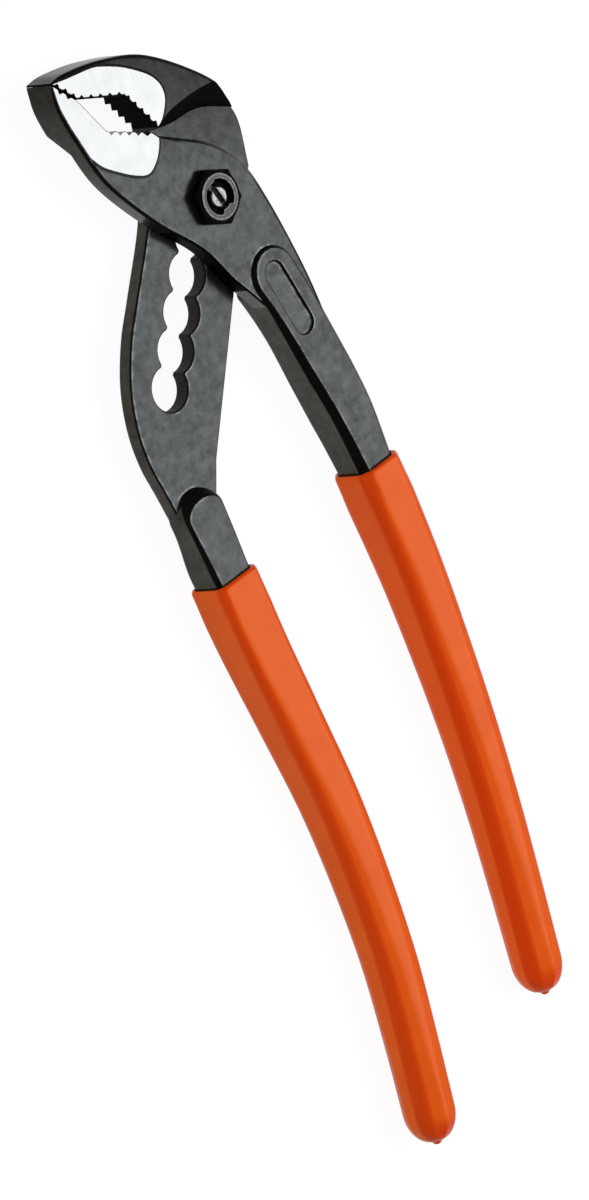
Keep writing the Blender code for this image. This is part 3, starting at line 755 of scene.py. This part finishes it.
class Bar:
    """The run of a handle bar: its path, and its sizes along the path."""

    def __init__(self, neck, mouth, tail, reach, widths, thicknesses, chamfers, ramp):
        below = [Vector((across, mouth.y - share * reach)) for across, share in tail]
        self.path = spline([*neck, mouth, *below])
        lengths = [(b - a).length for a, b in zip(self.path, self.path[1:])]
        self.reached = [sum(lengths[:i]) for i in range(len(self.path))]
        self.mouth = self.reached[SPLINE_STEPS * len(neck)]
        self.end = self.reached[-1]
        self.widths = widths
        self.thicknesses = thicknesses
        self.chamfers = chamfers
        self.ramp = ramp

    def at(self, reached):
        """Point and direction at a distance along the path, straight on beyond its end."""
        i = max(1, next((i for i, value in enumerate(self.reached) if value > reached), len(self.path) - 1))
        start, end = self.path[i - 1], self.path[i]
        point = start + (end - start) * (reached - self.reached[i - 1]) / (end - start).length
        ahead, behind = self.path[min(i + 1, len(self.path) - 1)], self.path[max(i - 2, 0)]
        return point, (ahead - behind).normalized()

    def size(self, sizes, reached):
        """One of the sizes at a distance along the path."""
        if reached < self.mouth:
            return between(sizes[:-1], max(0, reached) / self.mouth)
        return between(sizes[-2:], min(1, (reached - self.mouth) / (self.end - self.mouth)))

    def sizes(self, reached):
        """Width, thickness and chamfer at a distance along the path."""
        return [self.size(sizes, reached) for sizes in (self.widths, self.thicknesses, self.chamfers)]

    def section(self, reached, run=None, rise=None):
        """The bar's section with softened corners. Run and rise are the top chamfer's on a nose."""
        width, thickness, chamfer = self.sizes(reached)
        start, end = self.ramp
        drop = max(0, min(1, (reached / self.mouth - start) / (end - start)))
        drop = drop * drop * (3 - 2 * drop)
        bottom = BACK + RUNNING_GAP + (BAR_BACK - BACK - RUNNING_GAP) * drop
        corners = octagon(width, bottom, BAR_BACK + thickness, chamfer, run or chamfer, rise or chamfer)
        return soften(corners, BAR_CORNER)

    def coat(self, reached, share):
        """The section of a dipped coat, at a share of its wall. Further down, each corner is two facets."""
        width, thickness, chamfer = self.sizes(reached)
        below = reached - self.mouth
        wall = between(GRIP_WALLS, max(0, min(1, below / (self.end - self.mouth))))
        grow = GRIP_CLEARANCE + share * wall
        widening = between(GRIP_FACETS, min(1, max(0, below) / GRIP_FACET_RUN))
        pull = 0.5 - (0.5 - GRIP_FACET_PULL) * share * min(1, max(0, below) / GRIP_FACET_START)
        side, bottom = width / 2 + grow, BAR_BACK - min(grow, BAR_BACK)
        top = BAR_BACK + thickness + grow + GRIP_CREST * share
        low, run, rise = (chamfer + MITRE * grow + widening * share * part for part in GRIP_FACET_PARTS)
        right = [(side - low, bottom), (side - pull * low, bottom + pull * low), (side, bottom + low)]
        right += [(side, top - rise), (side - pull * run, top - pull * rise), (side - run, top)]
        return soften(right + [(-x, z) for x, z in reversed(right)], BAR_CORNER + GRIP_CORNER * share)

    def ring(self, reached, section, scale=1.0):
        """A section set square to the path."""
        point, direction = self.at(reached)
        across = Vector((-direction.y, direction.x))
        middle = sum(height for _, height in section) / len(section)
        return [(*(point + across * side * scale), middle + (height - middle) * scale)
                for side, height in section]

    def body(self, foot, slope):
        """The steel bar, with a round nose that rises from the foot's height over the length of the slope."""
        build = bmesh.new()
        rows = []
        for reached in self.reached:
            scale = 1 - BAR_END_TAPER * max(0, 1 - (self.end - reached) / BAR_END_RUN)
            ring = self.ring(reached, self.section(reached), scale)
            rows.append([build.verts.new(Vector(point) * MM) for point in ring])
        for upper, lower in zip(rows, rows[1:]):
            for i in range(len(upper)):
                j = (i + 1) % len(upper)
                build.faces.new((upper[i], upper[j], lower[j], lower[i]))
        build.faces.new(rows[-1])
        half = len(rows[0]) // 2
        columns = [rows[0][:half]]
        point, direction = self.at(0)
        across = Vector((-direction.y, direction.x))
        chamfer, crest = self.chamfers[0], BAR_BACK + self.thicknesses[0]
        wide, deep = self.widths[0] / 2 - chamfer, self.widths[0] / 2 - slope
        for step in range(1, NOSE_STEPS):
            turn = math.pi * step / NOSE_STEPS
            outward = across * math.cos(turn) - direction * math.sin(turn)
            arch = wide * deep / math.hypot(deep * math.cos(turn), wide * math.sin(turn))
            rise = chamfer + (crest - foot - chamfer) * math.sin(turn)**2
            section = self.section(0, self.widths[0] / 2 - arch, rise)[:half]
            columns.append([build.verts.new(Vector((*(point + outward * side), height)) * MM)
                            for side, height in section])
        columns.append(rows[0][:half - 1:-1])
        for first, second in zip(columns, columns[1:]):
            for i in range(half - 1):
                build.faces.new((first[i], first[i + 1], second[i + 1], second[i]))
        build.faces.new([column[-1] for column in columns])
        build.faces.new([column[0] for column in columns])
        bmesh.ops.recalc_face_normals(build, faces=build.faces)
        return build


def grip(name, bar, finish):
    """A dipped sleeve: over the rim of its mouth, along the bar, and round the closed end to the drip."""
    def ring(reached, share=1.0, scale=1.0):
        return bar.ring(reached, bar.coat(reached, share), scale)

    rings = [ring(bar.mouth + depth, 0) for depth in GRIP_INSIDE]
    rings += [ring(bar.mouth + depth, share) for share, depth in GRIP_RIM]
    first, last = bar.mouth + GRIP_RIM_LENGTH, bar.end - GRIP_END_START
    count = round((last - first) / GRIP_RING_STEP)
    rings += [ring(first + (last - first) * step / count) for step in range(count + 1)]
    for turn in GRIP_END_TURNS:
        angle = math.radians(turn)
        scale = 1 - GRIP_END_ROUNDING * (1 - math.cos(angle))
        rings.append(ring(last + GRIP_END_LENGTH * math.sin(angle), 1, scale))
    tip = last + GRIP_END_LENGTH
    drip = DRIP_RADIUS / (bar.widths[-1] / 2 + GRIP_CLEARANCE + GRIP_WALLS[-1])
    for turn in DRIP_TURNS:
        angle = math.radians(turn)
        rings.append(ring(tip + DRIP_LENGTH * math.sin(angle), 1, drip * math.cos(angle)))
    return settle(add_object(name, shell(rings), finish))


# Levers

def groove(start, end, name):
    """The cutter of one tooth groove, square to the run of a row."""
    along = (end - start).normalized()
    inward = Vector((along.y, -along.x))
    half = TOOTH_PITCH * (0.5 - TOOTH_LAND)
    above = -inward * GROOVE_OVERLAP
    outline = [above - along * half, above + along * half, inward * TOOTH_DEPTH]
    return add_object(name, shell([flat(outline, BACK - SPARE), flat(outline, FRONT + SPARE)]))


def cut_teeth(body, rows_tree, runs, finish, lead=0.5):
    """Cuts rows of grooves. The lead is the place of the first groove, in steps from the start of its row."""
    for number, (start, end) in enumerate(runs):
        start, end = Vector(start), Vector(end)
        count = max(2, round((end - start).length / TOOTH_PITCH))
        step = (end - start) / count
        shape = groove(start, end, f'{body.name}_teeth_{number}')
        cut(body, row(rows_tree, shape, start + step * lead, step, count + 1 - round(2 * lead), finish))


def flared(outline, bottom, top, edge, back_edge=None, steps=3):
    """A cutter that opens out at the top, which leaves a rounded edge. A back edge opens its bottom too."""
    ways = mitres(outline)
    rings = [flat(outline, bottom)]
    if back_edge:
        wide = [point - way * back_edge for point, way in zip(outline, ways)]
        rings = [flat(wide, bottom - SPARE), flat(wide, bottom), flat(outline, bottom + back_edge)]
    for step in range(steps + 1):
        turn = math.radians(90 * step / steps)
        rings.append([(*(point - way * edge * (1 - math.cos(turn))), top - edge * (1 - math.sin(turn)))
                      for point, way in zip(outline, ways)])
    rings.append([(x, y, top + SPARE) for x, y, _ in rings[-1]])
    return shell(rings)


def front_lever(bar, rows_tree, black, bright, shade_black):
    """Lower jaw, front plate of the lap joint with the pivot eye, and the right handle bar."""
    gap = Vector((TIP_END[1] - TIP[1], TIP[0] - TIP_END[0])).normalized() * JAW_GAP
    tip, tip_end = Vector(TIP) + gap, Vector(TIP_END) + gap
    bites = [tip, tip_end, LOWER_BITE, LOWER_HEEL, LOWER_GULLET, LOWER_LIP]
    shoulder = spline([LOWER_THROAT, *PLATE_SHOULDER])
    belly = spline([*JAW_BELLY, *PLATE_HIP])[::-1]
    runs = [(bites, LOWER_BITE_ROUNDING, 0), (shoulder, SHOULDER_ROUNDING, 0)]
    slab = plate([*runs, (belly, BELLY_ROUNDING, BELLY_BACK_ROUNDING)], BACK, FRONT)
    # Painted shade: the bites, except the run from the tip's end to the bite, and the belly wall over the
    # slotted plate are matt black
    slab = paint(grind(slab, LOWER_BITE, LOWER_GROUND), bites, LEVER_SHADE_BLACK)
    slab = paint(paint(slab, bites[1:3], LEVER_BRIGHT), belly[BELLY_PAINTED_SHADE], LEVER_SHADE_BLACK)
    lever = add_object('front_lever', slab, black, bright, shade_black)
    reach = CUTTER_REACH
    right = [(reach, -reach), (reach, reach / 2), (0, reach / 2)]
    left = [(-reach, reach), (-reach, -reach)]
    levels = ((LAP_RAMP, -SPARE), (LAP_RAMP, BACK), (LAP_SHOULDER, FRONT_LAP))
    cut(lever, add_object('front_lap', shell([flat(right + side + left, height) for side, height in levels])))
    join(lever, add_object('front_bar', bar.body(FRONT - RUNNING_GAP, PAD_SLOPE)))
    relief = [(x + RELIEF_GAP, y) for x, y in PLATE_RIGHT[:1:-1]] + arc((0, 0), RELIEF_RADIUS, *RELIEF_ARC)
    relief += [(reach, -reach / 2), (reach, 0), (-reach, 0), (-reach, PLATE_RIGHT[-1][1])]
    cut(lever, add_object('nose_relief', shell([flat(relief, height) for height in (-SPARE, FRONT_LAP)])))
    cut(lever, add_object('eye', shell([flat(circle(JOURNAL_RADIUS + RUNNING_GAP), height)
                                        for height in (0, FRONT + SPARE)])))
    oval = flared(stadium(OVAL_TOP, OVAL_BOTTOM, OVAL_RADIUS), -OVAL_DEPTH, 0.0, OVAL_EDGE)
    for vert in oval.verts:
        below = FRONT_NECK[0][1] - vert.co.y / MM
        vert.co.z += (BAR_BACK + bar.size(bar.thicknesses, below)) * MM
    cut(lever, add_object('oval_recess', oval))
    # Painted shade: the grooves at the tip are matt black
    cut_teeth(lever, rows_tree, [(tip, tip_end)], shade_black, lead=1.0)
    cut_teeth(lever, rows_tree, [(LOWER_BITE, LOWER_HEEL)], bright)
    return settle(lever)


def slotted_lever(bar, rows_tree, black, bright, shade_black, inner):
    """Upper jaw, plate with the slot of overlapping holes, and the left handle bar."""
    bites = [UPPER_THROAT, UPPER_BITE, TIP_END, TIP]
    back = spline([*HEAD_BACK, HEAD_HEEL])
    low = [*HEAD_UNDERSIDE, *spline([*HEAD_ARMPIT, UPPER_THROAT])[:-1]]
    sharp = (0, 0)
    runs = [(bites, UPPER_BITE_ROUNDING, 0), (back, HEAD_ROUNDING, BACK_ROUNDING), (low, sharp, 0)]
    slab = plate(runs, BACK, FRONT)
    # Painted shade: the bites are matt black
    slab = paint(grind(slab, UPPER_BITE, UPPER_GROUND), bites, LEVER_SHADE_BLACK)
    lever = add_object('slotted_lever', slab, black, bright, shade_black)
    wide, deep = 2 * LAST_HOLE.x, LAST_HOLE.y
    around = [Vector((-wide, deep)), Vector((wide, deep)), Vector((wide, SCOOP_FOOT[0][1]))]
    foot, brow = spline(SCOOP_FOOT), spline(SCOOP_BROW)
    over = [top + (top - base) * SPARE / (FRONT - LAP) for base, top in zip(foot, brow)]
    levels = ((foot, -SPARE), (foot, LAP - OVERLAP), (brow, FRONT), (over, FRONT + SPARE))
    scoop = shell([flat(edge + around, height) for edge, height in levels])
    # Painted shade: the scoop's wall is matt black
    cut(lever, add_object('scoop', scoop, shade_black))
    left = spline([*from_last_hole(PLATE_LEFT), *HEAD_ARMPIT, PLATE_THROAT])
    heel = back[PLATE_HEEL_KNOT * SPLINE_STEPS:]
    right = [point - Vector((OVERLAP, 0)) for point in heel] + from_last_hole(PLATE_RIGHT)
    even = (PLATE_ROUNDING, PLATE_ROUNDING)
    runs = [(left, even, BACK_ROUNDING), (PLATE_UNDER_HEAD, sharp, 0), (right, even, BACK_ROUNDING)]
    sheet = plate(runs, BACK + OVERLAP, LAP)
    join(lever, add_object('slotted_plate', sheet))
    join(lever, add_object('slotted_bar', bar.body(LAP, TONGUE_SLOPE)))
    step = -SLOT_UP * SLOT_PITCH
    for name, radius, start, count in (('slot_hole', HOLE_RADIUS - HOLE_TRIM, Vector((0, 0)), SLOT_HOLES),
                                       ('slot_neck', NECK_RADIUS, step / 2, SLOT_HOLES - 1)):
        # Painted shade: the walls of the slot's holes are darkened
        hole = add_object(name, flared(circle(radius), BACK, LAP, HOLE_EDGE, HOLE_BACK_EDGE))
        cut(lever, row(rows_tree, hole, start, step, count, inner), overlapping=True)
    # Painted shade: the upper tooth grooves are matt black
    cut_teeth(lever, rows_tree, [(UPPER_THROAT, UPPER_BITE), (UPPER_BITE, TIP_END), (TIP_END, TIP)], shade_black)
    return settle(lever)


# Pivot

def pivot_bolt(finish, shade_black, pale_highlight):
    """Round head, two flats that pass the necks of the slot, a journal, and the end with the driver slot."""
    profile = [(BOLT_HEAD_FLAT, 0)]
    for turn in range(0, 91, 15):
        angle = math.radians(turn)
        inset, rise = 1 - math.sin(angle), 1 - math.cos(angle)
        profile.append((BOLT_HEAD_RADIUS - BOLT_HEAD_EDGE * inset, BOLT_HEAD_EDGE * rise))
    profile += [(BOLT_HEAD_RADIUS, BOLT_HEAD_HEIGHT), (BOLT_CORE, BOLT_HEAD_HEIGHT)]
    profile += [(BOLT_CORE, LAP + JOURNAL_FOOT), (JOURNAL_RADIUS, LAP + JOURNAL_FOOT)]
    profile += [(JOURNAL_RADIUS - inset, BOLT_TOP - depth) for inset, depth in JOURNAL_EDGE]
    profile += [(radius, BOLT_TOP - depth) for radius, depth in BOLT_END]
    build = shell([flat(circle(radius), height) for radius, height in profile])
    # Painted shade: the bolt's end down in the nut's bore is matt black
    shallow, deep = BOLT_SHADE_DEPTHS
    for face in build.faces:
        depth = BOLT_TOP - face.calc_center_median().z / MM
        if depth < BOLT_RUBBED_HIGHLIGHT_DEPTH:
            face.material_index = PIVOT_RUBBED_HIGHLIGHT
        elif shallow < depth < deep:
            face.material_index = PIVOT_SHADE_BLACK
    bolt = add_object('pivot_bolt', build, finish, shade_black, pale_highlight)
    shank = HOLE_RADIUS - RUNNING_GAP
    neck = math.sqrt(HOLE_RADIUS**2 - (SLOT_PITCH / 2)**2)
    swing = math.degrees(math.asin((neck - RUNNING_GAP) / shank))
    turn = 90 - SLOT_ANGLE
    keyed = arc((0, 0), shank, turn - swing, turn + swing)
    keyed += arc((0, 0), shank, turn + 180 - swing, turn + 180 + swing)
    flats = shell([flat(keyed, height) for height in (BOLT_HEAD_HEIGHT / 2, LAP)])
    join(bolt, add_object('bolt_flats', flats))
    turn = math.radians(DRIVER_SLOT_ANGLE)
    run = Vector((math.cos(turn), math.sin(turn))) * (JOURNAL_RADIUS + SPARE)
    slot = stadium(-run, run, DRIVER_SLOT_WIDTH / 2)
    slot = flared(slot, BOLT_TOP - DRIVER_SLOT_DEPTH, BOLT_TOP, DRIVER_SLOT_EDGE)
    cut(bolt, add_object('driver_slot', slot))
    return settle(bolt)


def pivot_nut(finish, shade_black, pale_highlight):
    """A chamfered hexagon with a thin collar, which is staked over the ends of the bolt's driver slot."""
    bore = JOURNAL_RADIUS + SEAT_GAP
    apothem = NUT_FLATS / 2

    def ring(radius, height, hexagon=False, press=0.0):
        points = []
        for step in range(NUT_STEPS):
            turn = NUT_TURN + 360 * step / NUT_STEPS
            reach = radius
            if hexagon:
                reach = min(radius, apothem / math.cos(math.radians((turn - NUT_TURN) % 60 - 30)))
            off = abs((turn - DRIVER_SLOT_ANGLE + 180) % 360 - 180)
            near = max(0, min(1, (STAKE_END - off) / STAKE_FADE))
            far = max(0, min(1, (off - FAR_STAKE_START) / FAR_STAKE_FADE))
            reach -= press * (near + FAR_STAKE_SHARE * far)
            angle = math.radians(turn)
            points.append((reach * math.cos(angle), reach * math.sin(angle), height))
        return points

    rings = [ring(bore, NUT_SEAT)]
    rings += [ring(bore + out, NUT_TOP - depth, press=press) for out, depth, press in NUT_LIP]
    rings += [ring(COLLAR_RADIUS - inset, NUT_TOP - depth) for inset, depth in COLLAR_EDGE]
    rings += [ring(radius, height, hexagon=True) for radius, height in (
        (apothem - NUT_CHAMFER_INSET, NUT_SHOULDER), (NUT_CORNER, NUT_SHOULDER - NUT_CHAMFER),
        (NUT_CORNER, NUT_SEAT + NUT_SEAT_EDGE), (NUT_CORNER - NUT_SEAT_EDGE, NUT_SEAT))]
    build = shell(rings, ring_of_rings=True)
    # The nut's blackened sides are painted shade black; its rims are pale as rubbed steel and painted
    # highlight
    for face in build.faces:
        if face.calc_center_median().z / MM < NUT_TOP - NUT_SHADE_DEPTH:
            face.material_index = PIVOT_SHADE_BLACK
        elif face.normal.z < FLAT_UP:
            face.material_index = PIVOT_RUBBED_HIGHLIGHT
    return settle(add_object('pivot_nut', build, finish, shade_black, pale_highlight))


# Stage

def floor():
    """A plain pale floor, white to the eye, which keeps a soft shadow."""
    build = bmesh.new()
    place = Matrix.Translation((0, 0, -FLOOR_DROP * MM))
    bmesh.ops.create_grid(build, x_segments=1, y_segments=1, size=FLOOR_REACH * MM, matrix=place)
    material, tree = new_finish('white_paper')
    path = node(tree, 'ShaderNodeLightPath').outputs
    seen = node(tree, MATH, MOST, path['Is Camera Ray'], path['Is Glossy Ray'])
    seen = node(tree, MATH, MOST, seen, path['Is Transmission Ray'])
    plain = node(tree, 'ShaderNodeBsdfDiffuse', Color='#e7e7e7')
    faint = node(tree, 'ShaderNodeBsdfDiffuse', Color='#616161')
    glow = node(tree, 'ShaderNodeEmission', Color='#ffffff', Strength=0.93)
    both = node(tree, 'ShaderNodeAddShader', None, faint, glow)
    either = node(tree, 'ShaderNodeMixShader', None, seen, plain, both)
    node(tree, OUTPUT, Surface=either)
    add_object('floor', build, material)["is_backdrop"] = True


def lamp(name, direction, distance, size, power, mirrored=True):
    """A square soft lamp, aimed at the middle of the tool. One that isn't mirrored gives no reflection."""
    data = bpy.data.lights.new(name, 'AREA')
    data.size = size * MM
    data.energy = power
    made = bpy.data.objects.new(name, data)
    bpy.context.scene.collection.objects.link(made)
    made.visible_glossy = mirrored
    direction = direction.normalized()
    place = Matrix.Translation((Vector(TOOL_MIDDLE) + direction * distance) * MM)
    made.matrix_world = place @ direction.to_track_quat('Z', 'Y').to_matrix().to_4x4()


def light():
    """A soft key that the flats mirror to the camera, a fill from the left, and a dim room."""
    lamp('key', 0.656 * TOOL_RIGHT + 0.05 * TOOL_UP + 0.755 * UPWARD, distance=1000.0, size=900.0, power=8.0)
    lamp('fill', -0.75 * TOOL_RIGHT + 0.1 * TOOL_UP + 0.65 * UPWARD, distance=1200.0, size=1000.0, power=6.5,
         mirrored=False)
    world = bpy.data.worlds.new('studio')
    world.use_nodes = True
    tree = world.node_tree
    tree.nodes.clear()
    room = node(tree, 'ShaderNodeBackground', Color='#ffffff', Strength=0.09)
    node(tree, 'ShaderNodeOutputWorld', Surface=room)
    bpy.context.scene.world = world


def camera():
    """A long lens at the photograph's angle, with the photograph's place of the pivot."""
    tilt, roll = math.radians(CAMERA_TILT), math.radians(CAMERA_ROLL)
    towards = UPWARD * math.cos(tilt) - TOOL_RIGHT * math.sin(tilt)
    level = TOOL_RIGHT * math.cos(tilt) + UPWARD * math.sin(tilt)
    right = level * math.cos(roll) - TOOL_UP * math.sin(roll)
    up = level * math.sin(roll) + TOOL_UP * math.cos(roll)
    target = Vector((0, 0, LAP)) - right * PIVOT_RIGHT - up * PIVOT_UP
    data = bpy.data.cameras.new('camera')
    data.sensor_fit = 'VERTICAL'
    data.sensor_height = 24.0
    data.lens = data.sensor_height * CAMERA_DISTANCE / PICTURE_HEIGHT
    data.clip_end = 100.0
    made = bpy.data.objects.new('camera', data)
    bpy.context.scene.collection.objects.link(made)
    place = Matrix.Translation((target + towards * CAMERA_DISTANCE) * MM)
    made.matrix_world = place @ Matrix((right, up, towards)).transposed().to_4x4()
    bpy.context.scene.camera = made
    bpy.context.scene.view_settings.view_transform = 'Standard'


def pliers():
    """Makes the six pieces, ties each to its body, and hides the solid that it replaces."""
    black, bright = black_steel(), ground_steel()
    # Matt black painted shade, and a less dark painted shade for the walls of the slot's holes
    shade_black = matt_black('matt_black_scale', dark='#040404', light='#0c0c0b', shine=0.03)
    inner = matt_black('oiled_black_bore', dark='#0e0d0b', light='#1d1b16', shine=0.22)
    machined, pale_highlight, vinyl = pivot_steel(), rubbed_highlight_steel(), orange_vinyl()
    rows_tree = row_tree()
    front_bar = Bar([Vector(point) for point in FRONT_NECK], Vector(FRONT_MOUTH), FRONT_TAIL, FRONT_REACH,
                    FRONT_WIDTHS, FRONT_THICKNESSES, FRONT_CHAMFERS, FRONT_RAMP)
    mouth = from_last_hole([SLOTTED_MOUTH])[0]
    tail = [(across + LAST_HOLE.x, share) for across, share in SLOTTED_TAIL]
    slotted_bar = Bar(from_last_hole(SLOTTED_NECK), mouth, tail, SLOTTED_REACH,
                      SLOTTED_WIDTHS, SLOTTED_THICKNESSES, SLOTTED_CHAMFERS, SLOTTED_RAMP)
    pieces = (
        (front_lever(front_bar, rows_tree, black, bright, shade_black), 'front_lever', 'black_steel'),
        (slotted_lever(slotted_bar, rows_tree, black, bright, shade_black, inner), 'slotted_lever', 'black_steel'),
        (pivot_bolt(machined, shade_black, pale_highlight), 'pivot', 'pivot_steel'),
        (pivot_nut(machined, shade_black, pale_highlight), 'pivot', 'pivot_steel'),
        (grip('front_grip', front_bar, vinyl), 'front_lever', 'orange_vinyl'),
        (grip('slotted_grip', slotted_bar, vinyl), 'slotted_lever', 'orange_vinyl'),
    )
    # A piece has the name of the solid that it replaces, to which Blender adds a number
    for piece, body, slot in pieces:
        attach(piece, body)
        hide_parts(piece.name.split('.')[0])


pliers()
floor()
light()
camera()

# Boxes of the solids and of the looks
boxes = [[list(corner) for corner in box] for box in (solid_box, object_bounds())]
